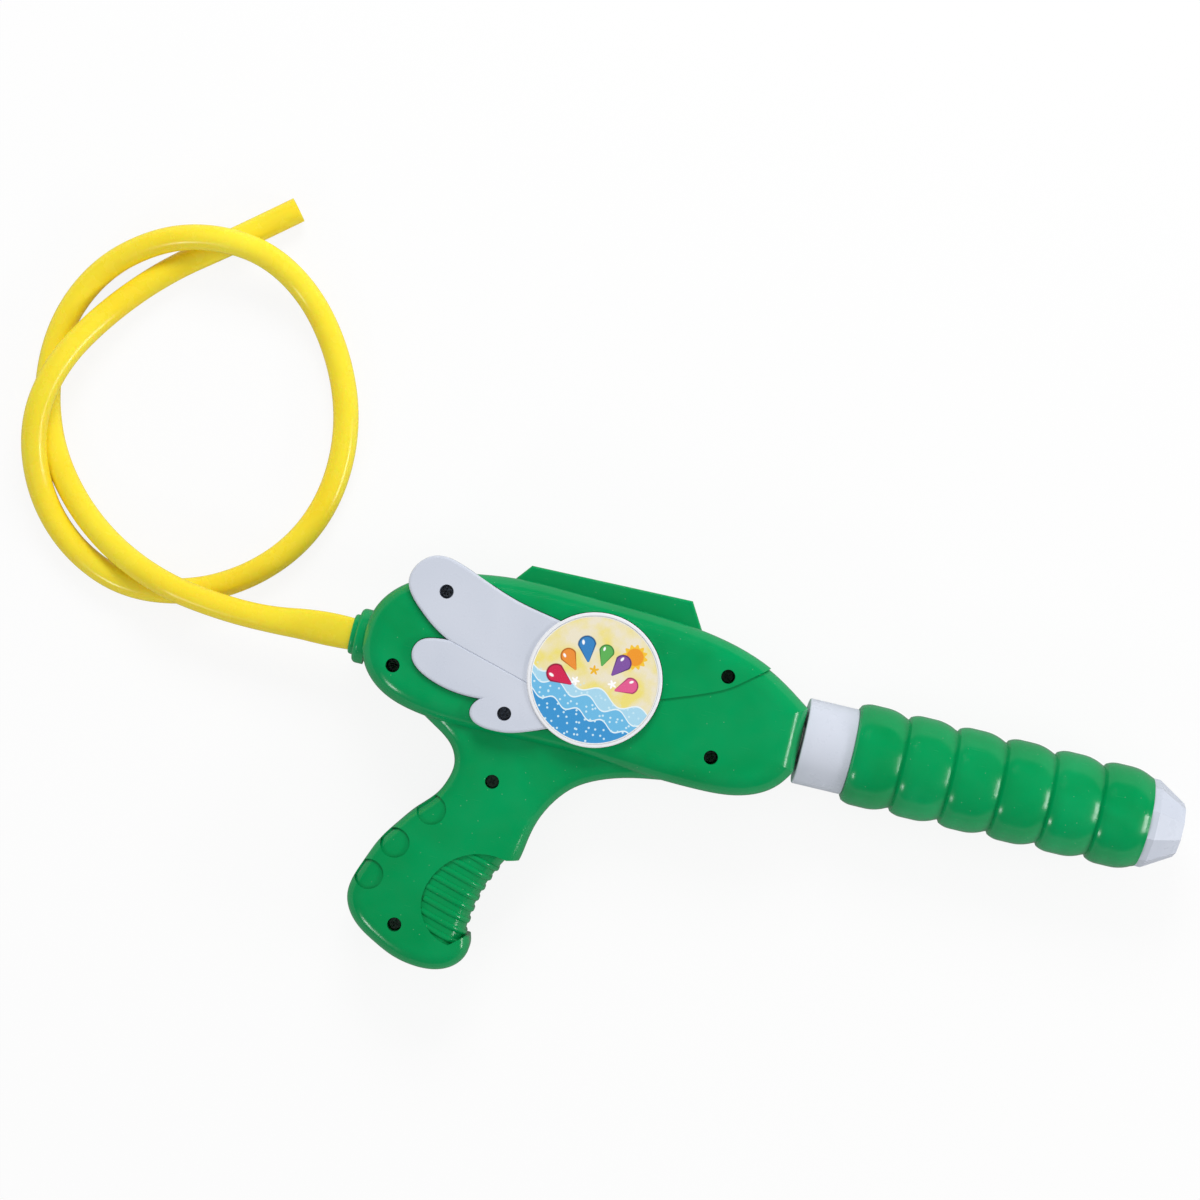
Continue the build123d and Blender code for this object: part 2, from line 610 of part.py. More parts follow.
def make_nozzle_cap():
    """Ten-sided cap that narrows to a flat tip, with the outlet valve's cage inside."""
    back = COLLAR_LENGTH + SLEEVE_LENGTH
    tip = back + NOZZLE_LENGTH
    band = back + NOZZLE_BAND
    wide = facet_plane(back) * RegularPolygon(NOZZLE_RADIUS, NOZZLE_FACETS, rotation=18)
    shell = extrude(wide, NOZZLE_BAND)
    shell += loft([facet_plane(band) * RegularPolygon(NOZZLE_RADIUS, NOZZLE_FACETS, rotation=18),
                   facet_plane(tip) * RegularPolygon(NOZZLE_TIP, NOZZLE_FACETS, rotation=18)])
    seat_front = BARREL_FRONT + SEAT_THICKNESS
    bore = BARREL_OUTER + PILOT_GAP
    end = tip - TIP_WALL
    shell -= ring(back - 1, seat_front, 0, bore)
    shell -= turned([(seat_front - 0.1, 0), (seat_front - 0.1, bore - 2.0), (seat_front + 1, bore - 2.0),
                     (end - 1.5, NOZZLE_TIP - 2.0), (end, NOZZLE_TIP - 2.6), (end, 0)])
    cage = ring(seat_front + 1.0, tip - 0.5, CAGE_RADIUS, CAGE_RADIUS + CAGE_WALL)
    shell += cage
    shell -= ring(end - 1, tip + 1, 0, JET_RADIUS)
    return shell + ball_stop(seat_front, OUTLET_HOLE, OUTLET_LIFT, end - 1)


def make_outlet_seat():
    return ring(BARREL_FRONT, BARREL_FRONT + SEAT_THICKNESS - GASKET, OUTLET_HOLE, BARREL_OUTER) + ring(
        BARREL_FRONT, BARREL_FRONT + SEAT_THICKNESS, OUTLET_HOLE, BARREL_OUTER - 3.0)


def make_nozzle_gasket():
    front = BARREL_FRONT + SEAT_THICKNESS
    return ring(front - GASKET, front, BARREL_OUTER - 3.0 + FIT, BARREL_OUTER)


def make_outlet_ball():
    return Pos(seated_ball(BARREL_FRONT + SEAT_THICKNESS, OUTLET_HOLE), 0, 0) * Sphere(BALL_RADIUS)


NODES = {
    "right_shell": make_right_shell,
    "left_shell": make_left_shell,
    "wing_panel": make_wing_panel,
    "badge_label": make_badge_label,
    "case_screws": make_case_screws,
    "wing_screws": make_wing_screws,
    "hose_gland": make_hose_gland,
    "supply_hose": make_supply_hose,
    "piston_rod": make_piston_rod,
    "piston_head": make_piston_head,
    "piston_seal": make_piston_seal,
    "inlet_cage": make_inlet_cage,
    "inlet_ball": make_inlet_ball,
    "rod_seal": make_rod_seal,
    "rear_collar": make_rear_collar,
    "seal_retainer": make_seal_retainer,
    "barrel_gasket": make_barrel_gasket,
    "barrel_tube": make_barrel_tube,
    "grip_sleeve": make_grip_sleeve,
    "nozzle_cap": make_nozzle_cap,
    "nozzle_gasket": make_nozzle_gasket,
    "outlet_seat": make_outlet_seat,
    "outlet_ball": make_outlet_ball,
}

solids = {name: make() for name, make in NODES.items()}
box = Compound([Compound(s.solids()) for name, s in solids.items() if name != "supply_hose"]).bounding_box()
middle = Pos(-(box.min.X + box.max.X) / 2, -(box.min.Y + box.max.Y) / 2, BODY_HALF)
print(f"moved by {middle.position.X:.3f}, {middle.position.Y:.3f}, {middle.position.Z:.3f}")
os.makedirs("parts", exist_ok=True)
for name, solid in solids.items():
    export_step(middle * Compound(solid.solids()), f"parts/{name}.step")
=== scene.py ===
"""A pump-action water squirter with its hose, lying on its left side on a pale floor."""
import math

import bmesh
import bpy
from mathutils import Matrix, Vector


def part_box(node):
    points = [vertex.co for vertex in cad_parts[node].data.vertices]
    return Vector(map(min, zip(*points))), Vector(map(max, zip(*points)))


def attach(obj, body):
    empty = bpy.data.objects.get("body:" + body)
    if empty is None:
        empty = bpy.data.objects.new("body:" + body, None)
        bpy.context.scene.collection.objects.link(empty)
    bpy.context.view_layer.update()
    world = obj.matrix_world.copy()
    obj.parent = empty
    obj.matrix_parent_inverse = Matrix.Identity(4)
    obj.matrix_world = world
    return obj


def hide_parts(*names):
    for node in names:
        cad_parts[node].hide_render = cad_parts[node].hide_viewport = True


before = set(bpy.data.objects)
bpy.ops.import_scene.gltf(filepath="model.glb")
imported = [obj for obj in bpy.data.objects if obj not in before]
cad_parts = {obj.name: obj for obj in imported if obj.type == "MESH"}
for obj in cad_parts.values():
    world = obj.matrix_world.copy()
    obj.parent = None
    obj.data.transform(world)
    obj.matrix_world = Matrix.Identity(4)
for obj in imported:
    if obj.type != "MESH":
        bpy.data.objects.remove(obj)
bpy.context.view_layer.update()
scene = bpy.context.scene
scene.view_settings.view_transform = "Standard"

# The barrel's axis and the rear collar's rear face, where the pump handle meets the body. Every place on the
# squirter is measured from there in millimetres: x to the nozzle, y to the top rail, and z up from the table.
collar_low, collar_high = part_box("rear_collar")
COLLAR_X = collar_low[0]
AXIS_Y = (collar_low[1] + collar_high[1]) / 2
AXIS_Z = (collar_low[2] + collar_high[2]) / 2


def at(x, y, z=0.0):
    """A place on the squirter, given in millimetres, in the scene's metres."""
    return Vector((COLLAR_X + x / 1000, AXIS_Y + y / 1000, z / 1000))


# Camera: straight above the table, turned so that the barrel points right and a little down. The distance
# and lens give the perspective of the photograph.
CAMERA_OVER = (-95.65, 37.79)
CAMERA_HEIGHT = 1.4
CAMERA_TURN = 13.4
VIEW_WIDTH = 0.504
SENSOR_WIDTH = 36
camera_data = bpy.data.cameras.new("camera")
camera_data.sensor_width = SENSOR_WIDTH
camera_data.lens = SENSOR_WIDTH * CAMERA_HEIGHT / VIEW_WIDTH
camera = bpy.data.objects.new("camera", camera_data)
scene.collection.objects.link(camera)
camera.location = at(*CAMERA_OVER) + Vector((0, 0, AXIS_Z + CAMERA_HEIGHT))
camera.rotation_euler = (0, 0, math.radians(CAMERA_TURN))
scene.camera = camera

# Supply hose: yellow PVC tube, 10.8 mm outside and 7.5 mm inside, about 0.79 m long, in a loose overhand
# loop. It was extruded, so it is smooth and glossy, and it is pinched flat where it bends out of the gland.
HOSE_RADIUS = 5.4
HOSE_BORE = 3.75
HOSE_SIDES = 40
BORE_SHOWN = 30
PINCH_PLACE = -202.0
PINCH_REACH = 20.0
PINCH_WIDEN = 1.30
PINCH_FLATTEN = 0.66
PINCHED_BESIDE, PINCHED_ABOVE = 8.0, 14.0
ROUTE = [
    (-170.0, 0.0, 21.65), (-206.0, 0.0, 21.65), (-231.0, -2.7, 19.4), (-253.5, -1.9, 18.6),
    (-276.5, 1.5, 18.2), (-300.5, 10.8, 11.0), (-321.5, 26.0, 5.4), (-337.5, 47.0, 5.4),
    (-346.3, 73.5, 5.4), (-345.5, 101.5, 5.4), (-334.0, 126.0, 6.5), (-313.5, 142.2, 12.5),
    (-291.5, 149.0, 18.4), (-266.5, 148.0, 17.4), (-245.0, 135.5, 8.0), (-227.5, 113.0, 5.4),
    (-217.0, 86.5, 5.4), (-216.0, 58.0, 5.4), (-224.5, 33.0, 5.4), (-242.0, 13.2, 5.4),
    (-266.0, 0.0, 5.4), (-294.5, -3.3, 5.4), (-320.0, 7.6, 5.4), (-338.5, 28.0, 7.0),
    (-346.3, 55.0, 16.0), (-341.5, 82.0, 18.2), (-327.5, 108.0, 8.5), (-307.0, 131.5, 5.4),
    (-282.5, 149.8, 5.4), (-258.5, 169.5, 5.4),
]


def colour(code):
    """The linear colour of an sRGB hex value."""
    channels = [int(code[i:i + 2], 16) / 255 for i in (1, 3, 5)]
    linear = [c / 12.92 if c <= 0.04045 else ((c + 0.055) / 1.055) ** 2.4 for c in channels]
    return (*linear, 1.0)


def new_material(name):
    """A material with no nodes yet."""
    material = bpy.data.materials.new(name)
    material.use_nodes = True
    material.node_tree.nodes.clear()
    return material


def add(owner, kind, inputs=None, **settings):
    """A node of that kind, with its settings. An input takes a value, a socket, or a node's first output."""
    node = owner.node_tree.nodes.new(kind)
    for key, value in settings.items():
        setattr(node, key, value)
    for key, value in (inputs or {}).items():
        if isinstance(value, bpy.types.Node):
            value = value.outputs[0]
        if isinstance(value, bpy.types.NodeSocket):
            owner.node_tree.links.new(value, node.inputs[key])
        else:
            node.inputs[key].default_value = value
    return node


def hose_line():
    """The points of the route's smooth line."""
    data = bpy.data.curves.new("route", "CURVE")
    data.dimensions = "3D"
    data.resolution_u = 14
    spline = data.splines.new("NURBS")
    spline.points.add(len(ROUTE) - 1)
    for point, spot in zip(spline.points, ROUTE):
        point.co = (*at(*spot), 1.0)
    spline.order_u = 3
    spline.use_endpoint_u = True
    obj = bpy.data.objects.new("route", data)
    mesh = bpy.data.meshes.new_from_object(obj)
    points = [vertex.co.copy() for vertex in mesh.vertices]
    bpy.data.objects.remove(obj)
    bpy.data.meshes.remove(mesh)
    return points


def hose_directions(points):
    """Sideways and upward directions at each point, carried along without twist."""
    directions = []
    across = Vector((0, 1, 0))
    for number in range(len(points)):
        before = points[max(number - 1, 0)]
        after = points[min(number + 1, len(points) - 1)]
        along = (after - before).normalized()
        across = (across - along * across.dot(along)).normalized()
        directions.append((across.copy(), along.cross(across).normalized()))
    return directions


def hose_ring(number, radius, wide=1.0, flat=1.0):
    """A ring of points round one point of the line, wider or flatter by a factor."""
    across, up = hose_ways[number]
    ring = []
    for side in range(HOSE_SIDES):
        angle = 2 * math.pi * side / HOSE_SIDES
        offset = across * (math.cos(angle) * radius * wide) + up * (math.sin(angle) * radius * flat)
        ring.append(bm.verts.new(hose_points[number] + offset / 1000))
    return ring


hose_points = hose_line()
hose_ways = hose_directions(hose_points)
bm = bmesh.new()
rings = []
for number, point in enumerate(hose_points):
    x, y, z = (point.x - COLLAR_X) * 1000, (point.y - AXIS_Y) * 1000, point.z * 1000
    # Only the strand that leaves the gland is pinched, not those that lie beside and below it
    pinched = y < PINCHED_BESIDE and z > PINCHED_ABOVE
    pinch = math.exp(-((x - PINCH_PLACE) / PINCH_REACH) ** 2) if pinched else 0.0
    rings.append(hose_ring(number, HOSE_RADIUS, 1 + (PINCH_WIDEN - 1) * pinch, 1 + (PINCH_FLATTEN - 1) * pinch))
# The cut end shows the bore, which is closed out of sight
for back in range(1, BORE_SHOWN, 4):
    rings.append(hose_ring(-back, HOSE_BORE))
for first, second in zip(rings, rings[1:]):
    for side in range(HOSE_SIDES):
        after = (side + 1) % HOSE_SIDES
        bm.faces.new((first[side], second[side], second[after], first[after]))
bm.faces.new(rings[-1])
bm.faces.new(rings[0])
bmesh.ops.recalc_face_normals(bm, faces=bm.faces)
hose_mesh = bpy.data.meshes.new("supply_hose_tube")
bm.to_mesh(hose_mesh)
bm.free()
hose = bpy.data.objects.new("supply_hose_tube", hose_mesh)
scene.collection.objects.link(hose)
bpy.ops.object.select_all(action="DESELECT")
hose.select_set(True)
bpy.context.view_layer.objects.active = hose
bpy.ops.object.shade_smooth_by_angle(angle=math.radians(40))

# Plasticised PVC: pigmented yellow, a little light shines through its wall, and the skin is glossy with a
# slow wave from the extruder and a few handling marks
pvc = new_material("yellow_pvc")
place = add(pvc, "ShaderNodeTexCoord").outputs["Object"]
clouds = add(pvc, "ShaderNodeTexNoise", {"Vector": place, "Scale": 1000 / 40, "Detail": 2.0})
tint = add(pvc, "ShaderNodeValToRGB", {"Fac": clouds})
tint.color_ramp.elements[0].position = 0.3
tint.color_ramp.elements[0].color = colour("#FFDF2C")
tint.color_ramp.elements[1].position = 0.7
tint.color_ramp.elements[1].color = colour("#FFE93C")
marks = add(pvc, "ShaderNodeTexNoise", {"Vector": place, "Scale": 1000 / 6, "Detail": 5.0})
polish = add(pvc, "ShaderNodeMapRange", {"Value": marks, "From Min": 0.45, "From Max": 0.75,
                                         "To Min": 0.24, "To Max": 0.36})
waves = add(pvc, "ShaderNodeTexNoise", {"Vector": place, "Scale": 1000 / 14, "Detail": 1.0})
relief = add(pvc, "ShaderNodeBump", {"Height": waves, "Strength": 0.1, "Distance": 0.0006})
skin = add(pvc, "ShaderNodeBsdfPrincipled",
           {"Base Color": tint, "Roughness": polish, "Normal": relief, "IOR": 1.53,
            "Subsurface Weight": 0.4, "Subsurface Scale": 0.0025, "Subsurface Radius": (1.0, 0.55, 0.12)})
add(pvc, "ShaderNodeOutputMaterial", {"Surface": skin})
hose_mesh.materials.append(pvc)
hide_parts("supply_hose")
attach(hose, "squirter")


# Green mouldings: both shells of the body and grip, the gland and the pump's sleeve. They are injection
# moulded ABS from polished moulds, glossy, with a faint flow mottle, hairline scratches and specks of dust.
def paint(node, material):
    """Gives a frame node one material."""
    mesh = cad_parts[node].data
    mesh.materials.clear()
    mesh.materials.append(material)


def moulded(name, dark, light, glossy, dull):
    """A moulded plastic or rubber between two tints, and between two roughnesses where it was handled."""
    material = new_material(name)
    place = add(material, "ShaderNodeTexCoord").outputs["Object"]
    flow = add(material, "ShaderNodeTexNoise", {"Vector": place, "Scale": 1000 / 38, "Detail": 2.0,
                                                "Distortion": 0.8})
    tint = add(material, "ShaderNodeValToRGB", {"Fac": flow})
    tint.color_ramp.elements[0].position = 0.3
    tint.color_ramp.elements[0].color = colour(dark)
    tint.color_ramp.elements[1].position = 0.7
    tint.color_ramp.elements[1].color = colour(light)
    # Specks of dust, 0.3 mm across and some 3.5 mm apart
    cells = add(material, "ShaderNodeTexVoronoi", {"Vector": place, "Scale": 1000 / 3.5})
    speck = add(material, "ShaderNodeMapRange", {"Value": cells, "From Min": 0.055, "From Max": 0.03,
                                                 "To Max": 0.25})
    dusty = add(material, "ShaderNodeMix", {0: speck, 6: tint, 7: colour("#E9ECEA")}, data_type="RGBA")
    # Hairline scratches up to 9 mm long, which slant over the piece
    drawn = add(material, "ShaderNodeMapping", {"Vector": place, "Rotation": (0.2, 0.1, 0.7),
                                                "Scale": (1000 / 9, 1000 / 0.3, 1000 / 0.3)})
    hairs = add(material, "ShaderNodeTexNoise", {"Vector": drawn, "Scale": 1.0, "Detail": 1.0, "Distortion": 0.3})
    scratch = add(material, "ShaderNodeMapRange", {"Value": hairs, "From Min": 0.74, "From Max": 0.82})
    # Duller patches where hands held it, and scratches that are duller still
    handled = add(material, "ShaderNodeTexNoise", {"Vector": place, "Scale": 1000 / 9, "Detail": 6.0,
                                                   "Roughness": 0.65})
    polish = add(material, "ShaderNodeMapRange", {"Value": handled, "From Min": 0.35, "From Max": 0.7,
                                                  "To Min": glossy, "To Max": dull})
    dulled = add(material, "ShaderNodeMath", {0: scratch, 1: 0.15, 2: polish}, operation="MULTIPLY_ADD")
    # Slow waves of the skin over thick and thin walls, with the scratches cut into it
    sink = add(material, "ShaderNodeTexNoise", {"Vector": place, "Scale": 1000 / 24, "Detail": 1.0})
    waves = add(material, "ShaderNodeBump", {"Height": sink, "Strength": 0.3, "Distance": 0.0006})
    scored = add(material, "ShaderNodeBump", {"Height": scratch, "Strength": 0.2, "Distance": 0.00002,
                                              "Normal": waves})
    skin = add(material, "ShaderNodeBsdfPrincipled",
               {"Base Color": dusty.outputs[2], "Roughness": dulled, "Normal": scored, "IOR": 1.53,
                "Specular IOR Level": 0.4})
    add(material, "ShaderNodeOutputMaterial", {"Surface": skin})
    return material


green_abs = moulded("green_abs", "#00924F", "#009F5B", 0.16, 0.27)
for node in ("right_shell", "left_shell", "hose_gland", "grip_sleeve"):
    paint(node, green_abs)

# Lilac mouldings: the rear collar and the nozzle, which close the ends of the pump's sleeve. They are pale
# injection moulded ABS from moulds that were polished less, so they mirror the room more softly than the green.
LILAC_FINISH = ("#C9CFDC", "#D2D7E3", 0.24, 0.36)
lilac_abs = moulded("lilac_abs", *LILAC_FINISH)
for node in ("rear_collar", "nozzle_cap"):
    paint(node, lilac_abs)

# Wing panel: a lilac ABS moulding of three lobes, held on the right shell by two screws. The raised ring round
# its badge is pad-printed white.
BADGE_RADIUS = 28.2
PRINT_EDGE = 0.1
label_low, label_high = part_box("badge_label")
label_middle = (Vector(label_low) + Vector(label_high)) / 2
wing_abs = moulded("lilac_abs_printed", *LILAC_FINISH)
place = add(wing_abs, "ShaderNodeTexCoord").outputs["Object"]
# Millimetres from the badge's middle, whatever the height
level_place = add(wing_abs, "ShaderNodeMapping",
                  {"Vector": place, "Location": label_middle, "Scale": (0.001, 0.001, 1e6)}, vector_type="TEXTURE")
distance = add(wing_abs, "ShaderNodeVectorMath", {0: level_place}, operation="LENGTH")
ring = add(wing_abs, "ShaderNodeMapRange", {"Value": distance.outputs["Value"],
                                            "From Min": BADGE_RADIUS + PRINT_EDGE,
                                            "From Max": BADGE_RADIUS - PRINT_EDGE})
skin = wing_abs.node_tree.nodes["Principled BSDF"]
plain = skin.inputs["Base Color"].links[0].from_socket
printed = add(wing_abs, "ShaderNodeMix", {0: ring, 6: plain, 7: colour("#ECEDF1")}, data_type="RGBA")
wing_abs.node_tree.links.new(printed.outputs[2], skin.inputs["Base Color"])
paint("wing_panel", wing_abs)

# Screws: seven pan-head self-tapping screws of zinc-plated steel with cross recesses, driven into bosses of the
# left shell: three in the body, two in the grip and two through the wing. SCREWS gives each one's place and the
# height of its head's seat.
SCREWS = [(-172.9, -8.4, 29.65), (-36.7, 19.2, 29.65), (-35.9, -15.0, 29.65), (-121.8, -46.1, 27.65),
          (-147.6, -113.2, 27.65), (-158.1, 26.5, 32.65), (-123.3, -17.1, 32.65)]
HEAD_RADIUS, HEAD_HEIGHT, HEAD_ROUNDING = 2.6, 1.9, 0.35
SHANK_RADIUS, SHANK_LENGTH, SHANK_IN_HEAD = 1.45, 13.0, 0.01
CROSS_LENGTH, CROSS_WIDTH, CROSS_DEPTH, CROSS_OVER = 3.0, 0.75, 1.3, 0.1
TURN_BETWEEN_SCREWS = 41


def select_only(obj):
    """Leaves this object alone selected, and active."""
    bpy.ops.object.select_all(action="DESELECT")
    obj.select_set(True)
    bpy.context.view_layer.objects.active = obj


def drum(radius, low, high, centre):
    """An upright cylinder between two heights, in millimetres."""
    bpy.ops.mesh.primitive_cylinder_add(vertices=36, radius=radius / 1000, depth=(high - low) / 1000,
                                        location=at(*centre, (low + high) / 2))
    return bpy.context.object


screws = []
for number, (x, y, seat) in enumerate(SCREWS):
    bpy.ops.object.select_all(action="DESELECT")
    head = drum(HEAD_RADIUS, seat, seat + HEAD_HEIGHT, (x, y))
    for bar_turn in (0, 90):
        bar_middle = at(x, y, seat + HEAD_HEIGHT - (CROSS_DEPTH - CROSS_OVER) / 2)
        bpy.ops.mesh.primitive_cube_add(size=1, location=bar_middle,
                                        rotation=(0, 0, math.radians(TURN_BETWEEN_SCREWS * number + bar_turn)))
        bar = bpy.context.object
        bar.scale = (CROSS_LENGTH / 1000, CROSS_WIDTH / 1000, (CROSS_DEPTH + CROSS_OVER) / 1000)
        select_only(head)
        cut = head.modifiers.new("cross", "BOOLEAN")
        cut.operation = "DIFFERENCE"
        cut.solver = "EXACT"
        cut.object = bar
        bpy.ops.object.modifier_apply(modifier="cross")
        bpy.data.objects.remove(bar)
    soften = head.modifiers.new("rounding", "BEVEL")
    soften.width = HEAD_ROUNDING / 1000
    soften.segments = 3
    soften.limit_method = "ANGLE"
    soften.angle_limit = math.radians(40)
    bpy.ops.object.modifier_apply(modifier="rounding")
    shank = drum(SHANK_RADIUS, seat - SHANK_LENGTH, seat + SHANK_IN_HEAD, (x, y))
    select_only(head)
    shank.select_set(True)
    bpy.ops.object.join()
    screws.append(head)
select_only(screws[0])
for head in screws[1:]:
    head.select_set(True)
bpy.ops.object.join()
screw_set = bpy.context.object
screw_set.name = "cross_recess_screws"
bpy.ops.object.transform_apply(location=True, rotation=True, scale=True)
bpy.ops.object.shade_smooth_by_angle(angle=math.radians(35))
# Zinc plating with a spangle finer than a millimetre. Its dull chromate film mirrors only in part.
zinc = new_material("zinc_steel")
place = add(zinc, "ShaderNodeTexCoord").outputs["Object"]
spangle = add(zinc, "ShaderNodeTexNoise", {"Vector": place, "Scale": 1000 / 0.8, "Detail": 3.0})
tint = add(zinc, "ShaderNodeValToRGB", {"Fac": spangle})
tint.color_ramp.elements[0].color = colour("#5E6466")
tint.color_ramp.elements[1].color = colour("#A2A7A9")
worn = add(zinc, "ShaderNodeMapRange", {"Value": spangle, "To Min": 0.25, "To Max": 0.5})
skin = add(zinc, "ShaderNodeBsdfPrincipled", {"Base Color": tint, "Metallic": 0.5, "Roughness": worn})
add(zinc, "ShaderNodeOutputMaterial", {"Surface": skin})
screw_set.data.materials.clear()
screw_set.data.materials.append(zinc)
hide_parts("case_screws", "wing_screws")
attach(screw_set, "squirter")

# Pump rod, piston, barrel and valve parts: injection moulded natural acetal, on which the seals slide easily.
# It is milky white and slightly waxy. Only the rod shows, when the handle is pulled out.
acetal = moulded("natural_acetal", "#E4E3DC", "#EFEEE8", 0.3, 0.42)
for node in ("piston_rod", "piston_head", "inlet_cage", "seal_retainer", "barrel_tube", "outlet_seat"):
    paint(node, acetal)

# Seals, gaskets and valve balls: black nitrile rubber, pressed in moulds. It is matt, and it seals against the
# acetal parts round it.
rubber = moulded("nitrile_rubber", "#151515", "#1E1E1F", 0.55, 0.7)
for node in ("piston_seal", "inlet_ball", "rod_seal", "barrel_gasket", "nozzle_gasket", "outlet_ball"):
    paint(node, rubber)

# Badge label: a printed vinyl disc under a clear film, glued into the wing panel's seat. Its print is a sunny
# sky over blue waves, with a fan of coloured drops and small stars, in flat inks with darker outlines.
LABEL_RADIUS = (label_high[0] - label_low[0]) * 500
UNPRINTED_EDGE = 0.5
FAN_MIDDLE = -7.5
# Direction in degrees, distance from the fan's middle and size in millimetres, and inks
DROPS = [(158, 17.5, 4.1, "#D62A55", "#93173A"), (131, 19.5, 3.4, "#EF933B", "#B8641C"),
         (107, 22.0, 3.8, "#3C86C6", "#1F5A8E"), (84, 20.0, 3.2, "#62B45B", "#37803A"),
         (60, 19.5, 3.6, "#8458A6", "#573273"), (30, 17.0, 3.5, "#E65F93", "#A8346A")]
STARS = [(145, 9.5, 1.9, "#FFFFFF"), (96, 11.5, 2.1, "#F0B92E"), (45, 10.5, 1.9, "#FFFFFF")]
# Height and swell in millimetres, radians to a millimetre, radians at the start, and ink
WATER = [(-4.5, 2.0, 0.36, 0.4, "#A9D8EE"), (-9.0, 1.7, 0.46, 2.1, "#6FBCE6"), (-15.5, 1.3, 0.58, 4.0, "#3F97D3")]
WATER_SLOPE = 0.22
WATER_EDGE = 0.12
CREST = 0.55
film = new_material("printed_film")
print_place = add(film, "ShaderNodeMapping",
                  {"Vector": add(film, "ShaderNodeTexCoord").outputs["Object"], "Location": label_middle,
                   "Scale": (0.001, 0.001, 0.001)}, vector_type="TEXTURE")


def motif_axes(x, y, turn=0, size=1):
    """Lengthwise and sideways place in a motif at x and y that is turned by degrees and so many times larger."""
    own = add(film, "ShaderNodeMapping", {"Vector": print_place, "Location": (x, y, 0),
                                          "Rotation": (0, 0, math.radians(turn)), "Scale": (size, size, size)},
              vector_type="TEXTURE")
    axes = add(film, "ShaderNodeSeparateXYZ", {"Vector": own})
    return axes.outputs["X"], axes.outputs["Y"]


def fan_axes(angle, distance, size):
    """The same for a motif of the fan, which points away from the fan's middle."""
    return motif_axes(distance * math.cos(math.radians(angle)),
                      distance * math.sin(math.radians(angle)) + FAN_MIDDLE, angle, size)


def reach(x, y):
    """How far a place is from the middle of its motif."""
    square = add(film, "ShaderNodeMath", {0: y, 1: y}, operation="MULTIPLY")
    squares = add(film, "ShaderNodeMath", {0: x, 1: x, 2: square}, operation="MULTIPLY_ADD")
    return add(film, "ShaderNodeMath", {0: squares}, operation="SQRT")


def rayed_reach(x, y, rays, depth):
    """The same, but shorter towards each of so many even rays."""
    angle = add(film, "ShaderNodeMath", {0: y, 1: x}, operation="ARCTAN2")
    turns = add(film, "ShaderNodeMath", {0: angle, 1: rays}, operation="MULTIPLY")
    swing = add(film, "ShaderNodeMath", {0: turns}, operation="COSINE")
    return add(film, "ShaderNodeMath", {0: swing, 1: -depth, 2: reach(x, y)}, operation="MULTIPLY_ADD")


def print_over(picture, form, limit, edge, code):
    """The picture with one more ink, where a form is below its limit. A negative edge prints outside it."""
    mask = add(film, "ShaderNodeMapRange", {"Value": form, "From Min": limit + edge, "From Max": limit - edge})
    return add(film, "ShaderNodeMix", {0: mask, 6: picture, 7: colour(code)}, data_type="RGBA").outputs[2]


# The sky's yellow clouds are about 11 mm across
clouds = add(film, "ShaderNodeTexNoise", {"Vector": print_place, "Scale": 0.09, "Detail": 3.0})
sky = add(film, "ShaderNodeValToRGB", {"Fac": clouds})
sky.color_ramp.elements[0].position = 0.4
sky.color_ramp.elements[0].color = colour("#EDE4CB")
sky.color_ramp.elements[1].position = 0.62
sky.color_ramp.elements[1].color = colour("#EFDF7C")
# The sun's disc and its twelve rays
across, up = motif_axes(14.0, 13.0, size=3.6)
picture = print_over(sky.outputs["Color"], rayed_reach(across, up, 12.0, 0.16), 1.32, 0.04, "#F6C73A")
picture = print_over(picture, reach(across, up), 1.0, 0.04, "#F29B2E")
# Three bands of water, each with a pale crest, that rise to the left
across, up = motif_axes(0, 0)
slope = add(film, "ShaderNodeMath", {0: across, 1: WATER_SLOPE, 2: up}, operation="MULTIPLY_ADD")
for height, swell, pitch, start, code in WATER:
    turns = add(film, "ShaderNodeMath", {0: across, 1: pitch, 2: start}, operation="MULTIPLY_ADD")
    wave = add(film, "ShaderNodeMath", {0: turns}, operation="SINE")
    level = add(film, "ShaderNodeMath", {0: wave, 1: -swell, 2: slope}, operation="MULTIPLY_ADD")
    picture = print_over(picture, level, height + CREST, WATER_EDGE, "#E9F6FB")
    picture = print_over(picture, level, height, WATER_EDGE, code)
# Round bubbles in the water, 1 mm across and some 3 mm apart, which thin out near the surface
cells = add(film, "ShaderNodeTexVoronoi", {"Vector": print_place, "Scale": 0.34}, voronoi_dimensions="2D")
bubble = add(film, "ShaderNodeMapRange", {"Value": cells, "From Min": 0.18, "From Max": 0.12})
deep = add(film, "ShaderNodeMapRange", {"Value": level, "From Min": -2.5, "From Max": -7.5})
seen = add(film, "ShaderNodeMath", {0: bubble, 1: deep}, operation="MULTIPLY")
picture = add(film, "ShaderNodeMix", {0: seen, 6: picture, 7: colour("#CDEBF7")}, data_type="RGBA").outputs[2]
